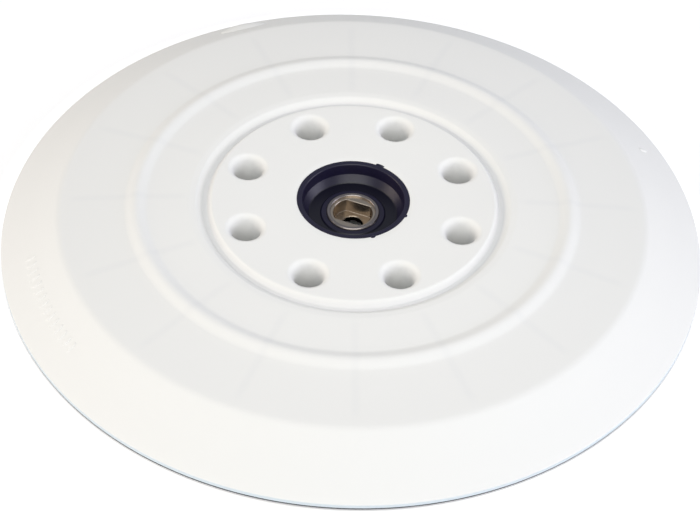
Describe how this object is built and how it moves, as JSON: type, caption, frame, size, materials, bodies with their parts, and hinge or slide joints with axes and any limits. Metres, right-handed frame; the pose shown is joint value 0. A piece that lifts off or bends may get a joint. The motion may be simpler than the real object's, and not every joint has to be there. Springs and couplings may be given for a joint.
{
  "type": "sanding backing pad",
  "caption": "Round foam backing pad for a disc sander, with a bevelled rim, ring bead and groove, dust holes, a nylon hub cup with a steel drive insert, and a hook facing underneath.",
  "frame": {"origin": "on the pad's axis, in the plane of the hook tips that the pad lies on", "axes": "+Z along the pad's axis, from the hook facing to the hub's open side; +X along the flats of the drive socket and through the centre of a dust hole; +Y completes the right-handed frame"},
  "size_m": [0.215, 0.215, 0.017],
  "materials": {
    "white_polyurethane": "integral-skin polyurethane foam with a smooth satin moulded skin",
    "navy_nylon": "glass-filled nylon, moulded, dark navy, satin",
    "insert_steel": "turned and broached steel, dull nickel plate",
    "adhesive": "translucent pressure-sensitive film",
    "hook_cloth": "woven nylon ground cloth, charcoal",
    "hook_monofilament": "nylon monofilament hooks, charcoal"
  },
  "bodies": {
    "root": {"pad_moulding": "white_polyurethane", "hub_carrier": "navy_nylon", "drive_insert": "insert_steel", "adhesive_film": "adhesive", "hook_backing": "hook_cloth", "hook_pile": "hook_monofilament"}
  },
  "joints": []
}
